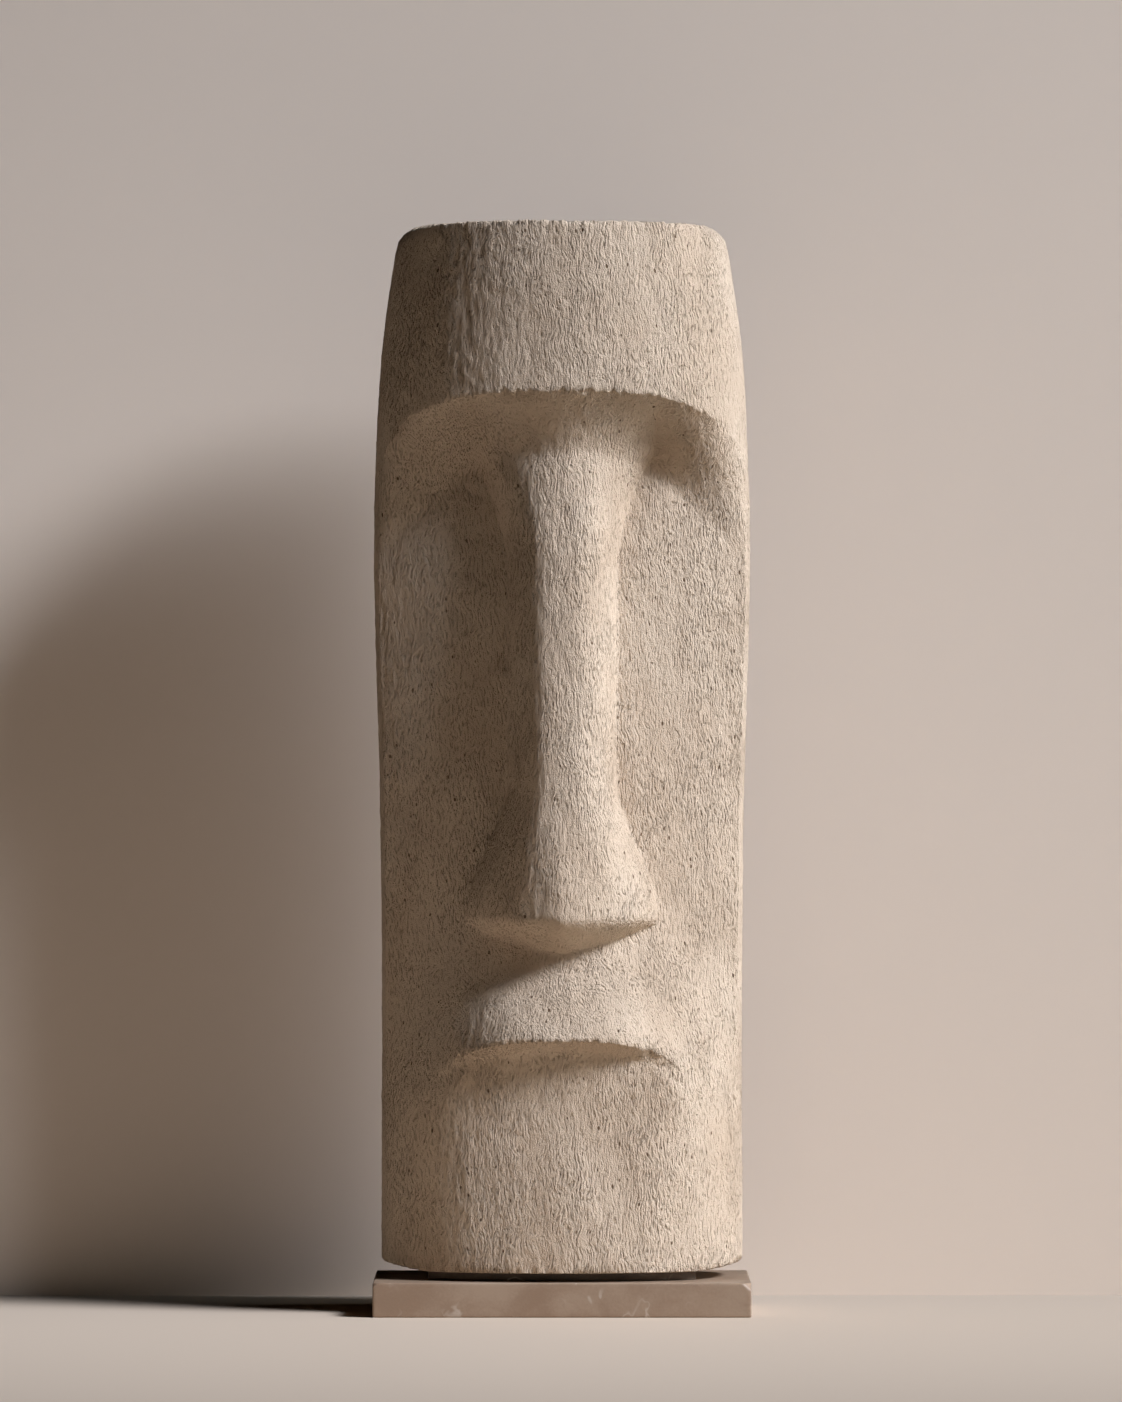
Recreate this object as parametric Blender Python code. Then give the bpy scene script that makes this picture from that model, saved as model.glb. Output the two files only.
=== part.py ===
"""Moai totem: a carved limestone head with a bowed front, standing on a thin riser and a stone plinth.

The front looks along -Y, +X is the viewer's right, +Z is up, and the origin is the centre of the
plinth's underside. Every length is in metres. The figure is a tall bowed block. Its eye hollow, nose,
mouth ridge and chin are carved into the front by a depth that depends on the place on the block.
Heights on the figure are shares of its height, from 0 at the foot to 1 at the crown, and places across
it are shares of its half width, from 0 on the centre line to 1 at the side.
"""

import math

import bmesh
import bpy
import numpy as np

MM = 0.001

# Clearance that pieces resting on each other keep
SEAT_GAP = 0.3 * MM

# Plinth: a sawn slab, given by how far it stands out past the riser
PLINTH_HEIGHT = 20 * MM
PLINTH_SIDE_MARGIN = 32 * MM
PLINTH_FRONT_MARGIN = 16.5 * MM
PLINTH_BACK_MARGIN = 8 * MM
PLINTH_ARRIS = 0.9 * MM
RIGHT_CORNER_CHIP = 3.2 * MM
RIGHT_CORNER_WAY = (0.6, -0.45, 0.66)
LEFT_CORNER_CHIP = 1.8 * MM
LEFT_CORNER_WAY = (-0.5, -0.5, 0.707)

# Riser: a thin block with a bowed front and square ends, set in under the figure's foot
RISER_HEIGHT = 4.6 * MM
RISER_SIDE_INSET = 28.3 * MM
RISER_FRONT_INSET = 16 * MM
RISER_BACK_INSET = 5 * MM
RISER_BOW = 13 * MM
RISER_BOW_FACETS = 16

# Figure: the block it is carved from
FIGURE_HEIGHT = 611.5 * MM
FIGURE_WIDTH = 219.6 * MM
FRONT_BOW = 76 * MM
BACK_BOW = 40 * MM
FRONT_SQUARENESS = 2.05
BACK_SQUARENESS = 2.7

# Outline of the block: (height, share of the half width) and (height, share of the bow)
WIDTH_PROFILE = [(0.0, 0.968), (0.18, 0.963), (0.42, 0.971), (0.76, 1.0), (0.9, 0.953), (1.0, 0.868)]
FRONT_PROFILE = [(0.0, 0.965), (0.22, 1.0), (0.5, 0.98), (0.83, 1.0), (1.0, 0.95)]
BACK_PROFILE = [(0.0, 0.97), (0.4, 1.0), (0.8, 0.98), (1.0, 0.86)]

# Crown and foot: how far their edges curve away at the sides, and the rounding of their edges
CROWN_DOME = 1.6 * MM
CROWN_DOME_POWER = 3.0
CROWN_ROUND_FRONT = 1.0 * MM
CROWN_ROUND_SIDE = 11 * MM
FOOT_ROCKER = 3.6 * MM
FOOT_ROCKER_POWER = 1.2
FOOT_ROUND_FRONT = 1.0 * MM
FOOT_ROUND_SIDE = 3.0 * MM
FOOT_SEAT_MARGIN = 1.2 * MM
ROUND_POWER = 8.0

# Brow: the arched edge over the eye hollow, and the cove under it
BROW_SHARE = 0.838
BROW_DROP = 64 * MM
BROW_SQUARENESS = 3.2
BROW_COVE = 36 * MM
BROW_COVE_END = 68 * MM
BROW_COVE_CURVE = 1.5
BROW_COVE_SHARE = 0.2
HOLLOW_EDGE_SHARE = 0.975

# Eye hollow and cheeks: depth behind the block's front on the centre line, and how it ends below
SOCKET_DEPTH = 38 * MM
CHEEK_DEPTH = 25 * MM
CHEEK_SHARE = 0.40
CHEEK_CURVE = 1.6
SOCKET_CURVE = 1.0
SOCKET_LOW_SHARE = 0.64
SOCKET_HIGH_SHARE = 0.78
LIP_SIDE_SHARE = 0.25
LIP_SIDE_DROP = 60 * MM

# Nose: straight ridge that widens to the nostrils below and to the brow above
NOSE_HALF_WIDTH = 32 * MM
NOSTRIL_HALF_WIDTH = 56 * MM
BRIDGE_HALF_WIDTH = 54 * MM
NOSE_FLARE_SHARE = 0.47
BRIDGE_FLARE_SHARE = 0.66
BRIDGE_SHARE = 0.78
BRIDGE_DEPTH = 18 * MM
NOSE_TIP_PROUD = 10 * MM
NOSE_RIDGE_CURVE = 1.25
NOSE_EDGE_SHARE = 0.3385
NOSE_BASE_SHARE = 0.302
NOSE_BASE_RISE = 17 * MM
NOSE_BASE_CURVE = 1.3
NOSE_ROUNDNESS = 2.8
BRIDGE_ROUNDNESS = 1.8
NOSTRIL_ROUNDNESS = 1.35
NOSE_FULLNESS = 1.1
NOSTRIL_FULLNESS = 1.45
NOSE_UNDERCUT = 1.8

# Mouth: the arched ridge of the lip, and the chin set back below it
MOUTH_SHARE = 0.2213
MOUTH_END_SHARE = 0.70
MOUTH_DROP = 35 * MM
MOUTH_SQUARENESS = 2.6
LIP_PROUD = 7 * MM
LIP_PROUD_HEIGHT = 45 * MM
LIP_PROUD_CURVE = 2.6
LIP_LEDGE = 3.5 * MM
LIP_LEDGE_HEIGHT = 9 * MM
LEDGE_START_SHARE = 0.3
CHIN_HOLLOW = 6 * MM
CHIN_HOLLOW_HEIGHT = 60 * MM
CHIN_START_SHARE = 0.1
CHIN_END_SHARE = 0.95
CHIN_RETURN_SHARE = 0.7

# Facets of the figure's skin
NOSE_COLUMNS = 9
CHEEK_COLUMNS = 12
EDGE_COLUMNS = 3
BACK_COLUMNS = 18
CHIN_ROWS = 10
LIP_ROWS = 7
NOSE_BASE_ROWS = 4
FACE_ROWS = 20
FOREHEAD_ROWS = 8
ROUND_ROWS = 3
CAP_RINGS = 4
CURVE_STEPS = 6
ROUND_CROWDING = 2.0
CHIN_CROWDING = 1.5
FACE_CROWDING = 1.4

# Colours of the stones, as linear red, green and blue
LIMESTONE = (0.58, 0.47, 0.36)
PLINTH_STONE = (0.34, 0.26, 0.19)
ROUGHNESS_LIMESTONE = 0.92
ROUGHNESS_PLINTH = 0.6


def smooth_step(low, high, value):
    """0 at low and 1 at high, with a soft rise between them."""
    share = np.clip((value - low) / (high - low), 0.0, 1.0)
    return share * share * (3.0 - 2.0 * share)


def quarter_wave(value):
    """0 at 0 and 1 from 1 on, rising steeply at first and levelling off like an arch."""
    return np.sin(math.pi / 2 * np.clip(value, 0.0, 1.0))


def profile(points, at):
    """The value at a height on a smooth curve through a few (height, value) points."""
    heights, values = np.array(points).T
    slopes = np.gradient(values, heights)
    at = np.clip(at, heights[0], heights[-1])
    index = np.clip(np.searchsorted(heights, at, side="right") - 1, 0, len(points) - 2)
    span = heights[index + 1] - heights[index]
    share = (at - heights[index]) / span
    rest = 1.0 - share
    return (
        rest * rest * (1.0 + 2.0 * share) * values[index]
        + share * share * (3.0 - 2.0 * share) * values[index + 1]
        + rest * rest * share * span * slopes[index]
        - share * share * rest * span * slopes[index + 1]
    )


def arch_drop(across, reach, drop, squareness):
    """How far a square-shouldered arch has fallen at a place across it."""
    share = np.clip(np.abs(across) / reach, 0.0, 1.0)
    return drop * (1.0 - (1.0 - share**squareness) ** (1.0 / squareness))


def half_width(height):
    return FIGURE_WIDTH / 2 * profile(WIDTH_PROFILE, height)


def front_bow(height):
    return FRONT_BOW * profile(FRONT_PROFILE, height)


def back_bow(height):
    return BACK_BOW * profile(BACK_PROFILE, height)


def block_depth(share, height):
    """How far the uncarved front lies behind its middle at a place across it."""
    return front_bow(height) * (1.0 - (1.0 - share**FRONT_SQUARENESS) ** (1.0 / FRONT_SQUARENESS))


def brow_line(across):
    """Height of the brow's edge above the foot, in metres."""
    return BROW_SHARE * FIGURE_HEIGHT - arch_drop(across, HOLLOW_EDGE_SHARE, BROW_DROP, BROW_SQUARENESS)


def mouth_line(across):
    """Height of the lip's edge above the foot, in metres."""
    drop = arch_drop(across, MOUTH_END_SHARE, MOUTH_DROP, MOUTH_SQUARENESS)
    return MOUTH_SHARE * FIGURE_HEIGHT - drop


def nose_base_line(across):
    """Height of the hollow under the nose, which rises from the middle to the nostrils."""
    share = np.clip(np.abs(across) * FIGURE_WIDTH / 2 / NOSTRIL_HALF_WIDTH, 0.0, 1.0)
    return NOSE_BASE_SHARE * FIGURE_HEIGHT + NOSE_BASE_RISE * share**NOSE_BASE_CURVE


def nose_edge_line(across):
    """Height of the nose's lower front edge."""
    return np.full(np.shape(across), NOSE_EDGE_SHARE * FIGURE_HEIGHT)


def crown_line(across):
    """Height of the crown, which falls away towards the sides."""
    return FIGURE_HEIGHT - CROWN_DOME * np.abs(across) ** CROWN_DOME_POWER


def riser_half_width():
    return half_width(0.0) - RISER_SIDE_INSET


def foot_line(across):
    """Height of the foot, which is flat over the riser and lifts towards the sides."""
    seat = (riser_half_width() + FOOT_SEAT_MARGIN) / half_width(0.0)
    past_seat = np.maximum(np.abs(across) - seat, 0.0) / (1.0 - seat)
    return FOOT_ROCKER * past_seat**FOOT_ROCKER_POWER


def nostril_flare(height):
    return 1.0 - smooth_step(NOSE_EDGE_SHARE, NOSE_FLARE_SHARE, height)


def bridge_flare(height):
    share = (height - BRIDGE_FLARE_SHARE) / (BRIDGE_SHARE - BRIDGE_FLARE_SHARE)
    return np.clip(share, 0.0, 1.0) ** 2


def nose_half_width(height):
    widening = (BRIDGE_HALF_WIDTH - NOSE_HALF_WIDTH) * bridge_flare(height)
    flaring = (NOSTRIL_HALF_WIDTH - NOSE_HALF_WIDTH) * nostril_flare(height)
    return NOSE_HALF_WIDTH + widening + flaring


def cove_share(across, z):
    """How much of its full depth the hollow has under the brow, from 0 at the edge to 1 below the cove."""
    sideness = smooth_step(BROW_COVE_SHARE, HOLLOW_EDGE_SHARE, np.abs(across))
    cove = BROW_COVE + (BROW_COVE_END - BROW_COVE) * sideness
    below = np.clip((brow_line(across) - z) / cove, 0.0, 1.0)
    return 1.0 - (1.0 - below) ** BROW_COVE_CURVE


def hollow_floor(height):
    """Depth of the hollow on the centre line, behind the block's front."""
    return CHEEK_DEPTH + (SOCKET_DEPTH - CHEEK_DEPTH) * smooth_step(CHEEK_SHARE, BROW_SHARE, height)


def lip_fade(share, z):
    """How much of the hollow is left as the cheeks come forward to the lip, from 1 to 0."""
    sideness = smooth_step(LIP_SIDE_SHARE, 1.0, share)
    end = mouth_line(0.0) - LIP_SIDE_DROP * sideness
    above = (z - end) / (CHEEK_SHARE * FIGURE_HEIGHT - mouth_line(0.0))
    straight, soft = quarter_wave(above), smooth_step(0.0, 1.0, above)
    return straight + (soft - straight) * sideness


def cheek_depth(share, height):
    """How far the cheeks and eye hollow lie behind the middle of the block's front."""
    upness = smooth_step(SOCKET_LOW_SHARE, SOCKET_HIGH_SHARE, height)
    curve = CHEEK_CURVE + (SOCKET_CURVE - CHEEK_CURVE) * upness
    floor, edge = hollow_floor(height), block_depth(HOLLOW_EDGE_SHARE, height)
    return floor + (edge - floor) * (share / HOLLOW_EDGE_SHARE) ** curve


def hollow_cut(across, z):
    """Depth of the eye hollow and cheeks behind the uncarved block."""
    share = np.minimum(np.abs(across), HOLLOW_EDGE_SHARE)
    height = z / FIGURE_HEIGHT
    cut = np.maximum(cheek_depth(share, height) - block_depth(share, height), 0.0)
    return cut * cove_share(across, z) * lip_fade(share, z)


def nose_ridge_depth(z):
    """Depth of the nose's ridge behind the block's front, negative where it stands proud."""
    height = np.clip(z / FIGURE_HEIGHT, NOSE_EDGE_SHARE, BRIDGE_SHARE)
    share = (height - NOSE_EDGE_SHARE) / (BRIDGE_SHARE - NOSE_EDGE_SHARE)
    return -NOSE_TIP_PROUD + (BRIDGE_DEPTH + NOSE_TIP_PROUD) * share**NOSE_RIDGE_CURVE


def nose_height(across, z):
    """How far the nose stands forward of the hollow."""
    height = z / FIGURE_HEIGHT
    flare = nostril_flare(height)
    share = np.clip(np.abs(across) * half_width(height) / nose_half_width(height), 0.0, 1.0)
    roundness = NOSE_ROUNDNESS + (NOSTRIL_ROUNDNESS - NOSE_ROUNDNESS) * flare
    roundness = roundness + (BRIDGE_ROUNDNESS - NOSE_ROUNDNESS) * bridge_flare(height)
    fullness = NOSE_FULLNESS + (NOSTRIL_FULLNESS - NOSE_FULLNESS) * flare
    section = (1.0 - share**roundness) ** (1.0 / fullness)
    base = nose_base_line(across)
    under = np.clip((z - base) / (nose_edge_line(across) - base), 0.0, 1.0)
    rise = cheek_depth(np.abs(across), height) * lip_fade(0.0, z) - nose_ridge_depth(z)
    return rise * section * (1.0 - (1.0 - under) ** NOSE_UNDERCUT) * cove_share(across, z)


def lip_height(across, z):
    """How far the lip swells forward above its edge."""
    share = np.clip(np.abs(across) / MOUTH_END_SHARE, 0.0, 1.0)
    above = z - mouth_line(across)
    swell = 1.0 - smooth_step(0.0, LIP_PROUD_HEIGHT, above)
    under = 1.0 - quarter_wave(-above / LIP_LEDGE_HEIGHT)
    return LIP_PROUD * (1.0 - share**LIP_PROUD_CURVE) * swell * under


def chin_cut(across, z):
    """Depth under the lip: a short ledge, then a long hollow that comes forward again to the foot."""
    below_lip = mouth_line(across) - z
    share = np.abs(across)
    ledge = LIP_LEDGE * quarter_wave(below_lip / LIP_LEDGE_HEIGHT)
    ledge = ledge * (1.0 - smooth_step(LEDGE_START_SHARE, MOUTH_END_SHARE, share))
    hollow = CHIN_HOLLOW * quarter_wave(below_lip / CHIN_HOLLOW_HEIGHT)
    hollow = hollow * (1.0 - smooth_step(CHIN_START_SHARE, CHIN_END_SHARE, share))
    return (ledge + hollow) * (1.0 - CHIN_RETURN_SHARE * smooth_step(mouth_line(0.0), 0.0, z))


def carving(across, z):
    """Depth from the block's front to the carved face."""
    return hollow_cut(across, z) + chin_cut(across, z) - nose_height(across, z) - lip_height(across, z)


def edge_rounding(across, z):
    """How far the skin draws in where the crown and the foot are rounded."""
    sideness = np.abs(across) ** ROUND_POWER
    inset = 0.0
    for front, side, distance in (
        (CROWN_ROUND_FRONT, CROWN_ROUND_SIDE, crown_line(across) - z),
        (FOOT_ROUND_FRONT, FOOT_ROUND_SIDE, z - foot_line(across)),
    ):
        radius = front + (side - front) * sideness
        into = np.clip(radius - distance, 0.0, radius)
        inset = inset + radius - np.sqrt(radius**2 - into**2)
    return inset


def front_angle(across):
    """The angle at which the block's front section reaches a place across it."""
    return np.arcsin(across ** (FRONT_SQUARENESS / 2.0))


def section_power(angle):
    """The power that turns a circle's sine and cosine into the block's section, front or back."""
    return 2.0 / np.where(np.cos(angle) > 0.0, FRONT_SQUARENESS, BACK_SQUARENESS)


def across_block(angle):
    """Where an angle from the front's middle falls across the block."""
    return np.sign(np.sin(angle)) * np.abs(np.sin(angle)) ** section_power(angle)


def skin_points(angle, z):
    """Points of the figure's skin, at angles round the block from its front and at heights z."""
    height = z / FIGURE_HEIGHT
    across = across_block(angle)
    forward = np.abs(np.cos(angle)) ** section_power(angle)
    front = carving(across, z) - front_bow(height) * forward
    y = np.where(np.cos(angle) > 0.0, front, back_bow(height) * forward)
    x = half_width(height) * across
    draw_in = 1.0 - edge_rounding(across, z) / np.hypot(x, y)
    return np.stack([x * draw_in, y * draw_in, z], axis=-1)


def steps(count, power=1.0):
    """Shares from 0 up to but not 1, closer together near 0 where power is over 1."""
    return (np.arange(count) / count) ** power


def column_angles(columns, z):
    """Angles of the skin's columns at their heights. Columns run along each edge of the nose and hollow."""
    height = z / FIGURE_HEIGHT
    nose = front_angle(nose_half_width(height) / half_width(height))
    edge = front_angle(HOLLOW_EDGE_SHARE)
    side = math.pi / 2
    past = np.abs(columns)
    reach = np.clip(past, 0, 1) * nose
    reach = reach + np.clip(past - 1, 0, 1) * (edge - nose) + np.clip(past - 2, 0, 1) * (side - edge)
    return np.sign(columns) * reach + np.clip(columns - 3, 0, 1) * math.pi


def column_meets(columns, line):
    """Heights at which the columns cross a line of the carving."""
    z = line(np.zeros(len(columns)))
    for _ in range(CURVE_STEPS):
        z = line(across_block(column_angles(columns, z)))
    return z


def skin_rings():
    """Rings of the skin from the foot to the crown, whose rows bend with the carving."""
    quarter = np.concatenate([steps(NOSE_COLUMNS), 1 + steps(CHEEK_COLUMNS), 2 + steps(EDGE_COLUMNS)])
    columns = np.concatenate([quarter, 3 + steps(BACK_COLUMNS), [-3.0], -quarter[:0:-1]])
    lines = (foot_line, mouth_line, nose_base_line, nose_edge_line, brow_line, crown_line)
    foot, mouth, nose_base, nose_edge, brow, crown = [column_meets(columns, line) for line in lines]
    sideness = np.abs(across_block(column_angles(columns, foot))) ** ROUND_POWER
    foot_top = foot + FOOT_ROUND_FRONT + (FOOT_ROUND_SIDE - FOOT_ROUND_FRONT) * sideness
    sideness = np.abs(across_block(column_angles(columns, crown))) ** ROUND_POWER
    crown_low = crown - CROWN_ROUND_FRONT - (CROWN_ROUND_SIDE - CROWN_ROUND_FRONT) * sideness
    zones = (
        (foot, foot_top, steps(ROUND_ROWS, ROUND_CROWDING)),
        (foot_top, mouth, 1.0 - steps(CHIN_ROWS, CHIN_CROWDING)[::-1]),
        (mouth, nose_base, steps(LIP_ROWS)[1:]),
        (nose_base, nose_edge, steps(NOSE_BASE_ROWS)),
        (nose_edge, nose_edge, np.zeros(1)),
        (nose_edge, brow, 1.0 - steps(FACE_ROWS, FACE_CROWDING)[::-1]),
        (brow, crown_low, steps(FOREHEAD_ROWS)[1:]),
        (crown_low, crown, 1.0 - steps(ROUND_ROWS, ROUND_CROWDING)[::-1]),
    )
    rows = [low + (high - low) * shares[:, None] for low, high, shares in zones]
    z = np.concatenate(rows)
    return skin_points(column_angles(columns[None, :], z), z)


def cap_rings(edge, line):
    """Rings from an end's edge in to its middle, on the surface that a line gives across the block."""
    rings = []
    for step in range(1, CAP_RINGS):
        ring = edge * (1.0 - step / CAP_RINGS)
        ring[:, 2] = line(ring[:, 0] / edge[:, 0].max())
        rings.append(ring)
    return np.array(rings)


def solid(name, rings, material, foot=None, crown=None):
    """A closed object through rings of points. Its ends are flat, or fans round a middle point."""
    mesh = bmesh.new()
    loops = [[mesh.verts.new(point) for point in ring] for ring in rings]
    for lower, upper in zip(loops, loops[1:]):
        for i in range(len(lower)):
            j = (i + 1) % len(lower)
            mesh.faces.new((lower[i], lower[j], upper[j], upper[i]))
    for loop, middle in ((loops[0][::-1], foot), (loops[-1], crown)):
        if middle is None:
            mesh.faces.new(loop)
            continue
        hub = mesh.verts.new(middle)
        for i in range(len(loop)):
            mesh.faces.new((loop[i], loop[(i + 1) % len(loop)], hub))
    return add_object(name, mesh, material)


def add_object(name, mesh, material):
    """Puts a finished mesh into the scene as a named object of one material."""
    data = bpy.data.meshes.new(name)
    bmesh.ops.recalc_face_normals(mesh, faces=mesh.faces)
    mesh.to_mesh(data)
    mesh.free()
    data.materials.append(material)
    item = bpy.data.objects.new(name, data)
    bpy.context.scene.collection.objects.link(item)
    return item


def stone(name, colour, roughness):
    material = bpy.data.materials.new(name)
    material.use_nodes = True
    shader = material.node_tree.nodes["Principled BSDF"]
    shader.inputs["Base Color"].default_value = (*colour, 1.0)
    shader.inputs["Roughness"].default_value = roughness
    shader.inputs["Metallic"].default_value = 0.0
    return material


def make_figure():
    rings = skin_rings()
    foot_caps, crown_caps = cap_rings(rings[0], foot_line)[::-1], cap_rings(rings[-1], crown_line)
    material = stone("limestone", LIMESTONE, ROUGHNESS_LIMESTONE)
    middle_foot, middle_crown = (0.0, 0.0, foot_line(0.0)), (0.0, 0.0, crown_line(0.0))
    rings = np.concatenate([foot_caps, rings, crown_caps])
    figure = solid("figure", rings, material, middle_foot, middle_crown)
    figure.data.shade_smooth()
    return figure


def riser_sides():
    """Front and back of the riser."""
    return RISER_FRONT_INSET - front_bow(0.0), back_bow(0.0) - RISER_BACK_INSET


def make_riser():
    front, back = riser_sides()
    reach = riser_half_width()
    outline = []
    for i in range(RISER_BOW_FACETS + 1):
        share = 2.0 * i / RISER_BOW_FACETS - 1.0
        outline.append((reach * share, front + RISER_BOW * share**2))
    outline += [(reach, back), (-reach, back)]
    rings = [[(x, y, z) for x, y in outline] for z in (0.0, RISER_HEIGHT)]
    return solid("riser", rings, stone("riser stone", PLINTH_STONE, ROUGHNESS_PLINTH))


def chip_corner(mesh, corner, way, size):
    """Breaks a corner off with one flat cut across it."""
    cut = bmesh.ops.bisect_plane(
        mesh,
        geom=mesh.verts[:] + mesh.edges[:] + mesh.faces[:],
        plane_co=[c - w * size for c, w in zip(corner, way)],
        plane_no=way,
        clear_outer=True,
    )
    rim = [item for item in cut["geom_cut"] if isinstance(item, bmesh.types.BMEdge)]
    bmesh.ops.edgeloop_fill(mesh, edges=rim)


def plinth_extent():
    """Half width, front and back of the plinth, before the whole is centred on it."""
    front, back = riser_sides()
    half = riser_half_width() + PLINTH_SIDE_MARGIN
    return half, front - PLINTH_FRONT_MARGIN, back + PLINTH_BACK_MARGIN


def make_plinth():
    half, front, back = plinth_extent()
    corners = [(-half, front), (half, front), (half, back), (-half, back)]
    mesh = bmesh.new()
    low = [mesh.verts.new((x, y, 0.0)) for x, y in corners]
    high = [mesh.verts.new((x, y, PLINTH_HEIGHT)) for x, y in corners]
    mesh.faces.new(low[::-1])
    mesh.faces.new(high)
    for i in range(len(corners)):
        j = (i + 1) % len(corners)
        mesh.faces.new((low[i], low[j], high[j], high[i]))
    bmesh.ops.bevel(
        mesh, geom=mesh.edges[:], offset=PLINTH_ARRIS, segments=2, profile=0.5, affect="EDGES"
    )
    chip_corner(mesh, (half, front, PLINTH_HEIGHT), RIGHT_CORNER_WAY, RIGHT_CORNER_CHIP)
    chip_corner(mesh, (-half, front, PLINTH_HEIGHT), LEFT_CORNER_WAY, LEFT_CORNER_CHIP)
    return add_object("plinth", mesh, stone("plinth marble", PLINTH_STONE, ROUGHNESS_PLINTH))


def main():
    for item in list(bpy.data.objects):
        bpy.data.objects.remove(item, do_unlink=True)
    _, front, back = plinth_extent()
    middle = (front + back) / 2
    riser_seat = PLINTH_HEIGHT + SEAT_GAP
    make_plinth().location = (0.0, -middle, 0.0)
    make_riser().location = (0.0, -middle, riser_seat)
    make_figure().location = (0.0, -middle, riser_seat + RISER_HEIGHT + SEAT_GAP)


main()
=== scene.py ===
"""Moai totem in limestone on a marble plinth: the finished surfaces, the floor, the light and the camera.

The front looks along -Y, +X is the viewer's right, +Z is up, and every length is in metres. Heights on
the figure are shares of its height, from 0 at the foot to 1 at the crown, and places across it are
shares of its half width, from 0 on the centre line to 1 at the side.
"""

import math

import bpy
import numpy as np
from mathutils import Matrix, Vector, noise


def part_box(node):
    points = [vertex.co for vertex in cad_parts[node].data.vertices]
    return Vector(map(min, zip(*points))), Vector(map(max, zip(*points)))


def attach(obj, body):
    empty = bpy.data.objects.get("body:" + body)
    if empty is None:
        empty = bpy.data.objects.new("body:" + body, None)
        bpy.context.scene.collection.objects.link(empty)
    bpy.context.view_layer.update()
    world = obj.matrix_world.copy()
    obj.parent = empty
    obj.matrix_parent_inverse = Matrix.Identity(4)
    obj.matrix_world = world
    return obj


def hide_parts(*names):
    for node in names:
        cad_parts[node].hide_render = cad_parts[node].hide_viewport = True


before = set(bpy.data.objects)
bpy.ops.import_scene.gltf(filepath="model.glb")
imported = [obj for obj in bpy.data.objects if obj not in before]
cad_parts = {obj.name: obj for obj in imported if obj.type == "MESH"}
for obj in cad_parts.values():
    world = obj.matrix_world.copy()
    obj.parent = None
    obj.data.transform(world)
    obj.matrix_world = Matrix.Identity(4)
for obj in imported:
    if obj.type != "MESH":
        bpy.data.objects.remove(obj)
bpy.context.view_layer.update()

MM = 0.001

# The picture: its height in pixels, the size of a pixel on the plinth's front face, and the eye's place
IMAGE_HEIGHT = 1402
PIXEL = 0.58 * MM
CENTRE_COLUMN_OFFSET = -1 * PIXEL
EYE_HEIGHT = 357.7 * MM
EYE_DISTANCE = 5.0
FILM_HEIGHT = 24

# Figure: the block it is carved from
FIGURE_HEIGHT = 611.5 * MM
FIGURE_WIDTH = 219.6 * MM
FRONT_BOW = 76 * MM
BACK_BOW = 40 * MM
FRONT_SQUARENESS = 2.05
BACK_SQUARENESS = 2.7

# Outline of the block: (height, share of the half width) and (height, share of the bow)
WIDTH_PROFILE = [(0.0, 0.968), (0.18, 0.963), (0.42, 0.971), (0.76, 1.0), (0.9, 0.953), (1.0, 0.868)]
FRONT_PROFILE = [(0.0, 0.965), (0.22, 1.0), (0.5, 0.98), (0.83, 1.0), (1.0, 0.95)]
BACK_PROFILE = [(0.0, 0.97), (0.4, 1.0), (0.8, 0.98), (1.0, 0.86)]

# Crown and foot: how far their edges curve away at the sides, and the rounding of their edges
CROWN_DOME = 1.6 * MM
CROWN_DOME_POWER = 3.0
CROWN_ROUND_FRONT = 1.0 * MM
CROWN_ROUND_SIDE = 11 * MM
FOOT_ROCKER = 3.6 * MM
FOOT_ROCKER_POWER = 1.2
FOOT_SEAT_SHARE = 0.745
FOOT_ROUND_FRONT = 1.0 * MM
FOOT_ROUND_SIDE = 3.0 * MM
ROUND_POWER = 8.0

# Brow: the arched edge over the eye hollow, and the cove under it
BROW_SHARE = 0.838
BROW_DROP = 64 * MM
BROW_SQUARENESS = 3.2
BROW_COVE = 36 * MM
BROW_COVE_END = 68 * MM
BROW_COVE_CURVE = 1.5
BROW_COVE_SHARE = 0.2
HOLLOW_EDGE_SHARE = 0.975

# Eye hollow and cheeks: depth behind the block's front on the centre line, and how it ends below
SOCKET_DEPTH = 38 * MM
CHEEK_DEPTH = 25 * MM
CHEEK_SHARE = 0.40
CHEEK_CURVE = 1.6
SOCKET_CURVE = 1.0
SOCKET_LOW_SHARE = 0.64
SOCKET_HIGH_SHARE = 0.78
LIP_SIDE_SHARE = 0.25
LIP_SIDE_DROP = 60 * MM

# Nose: straight ridge that widens to the nostrils below and to the brow above
NOSE_HALF_WIDTH = 32 * MM
NOSTRIL_HALF_WIDTH = 56 * MM
BRIDGE_HALF_WIDTH = 54 * MM
NOSE_FLARE_SHARE = 0.47
BRIDGE_FLARE_SHARE = 0.66
BRIDGE_SHARE = 0.78
BRIDGE_DEPTH = 18 * MM
NOSE_TIP_PROUD = 10 * MM
NOSE_RIDGE_CURVE = 1.25
NOSE_EDGE_SHARE = 0.3385
NOSE_BASE_SHARE = 0.302
NOSE_BASE_RISE = 17 * MM
NOSE_BASE_CURVE = 1.3
NOSE_ROUNDNESS = 2.8
BRIDGE_ROUNDNESS = 1.8
NOSTRIL_ROUNDNESS = 1.35
NOSE_FULLNESS = 1.1
NOSTRIL_FULLNESS = 1.45
NOSE_UNDERCUT = 1.8

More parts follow.
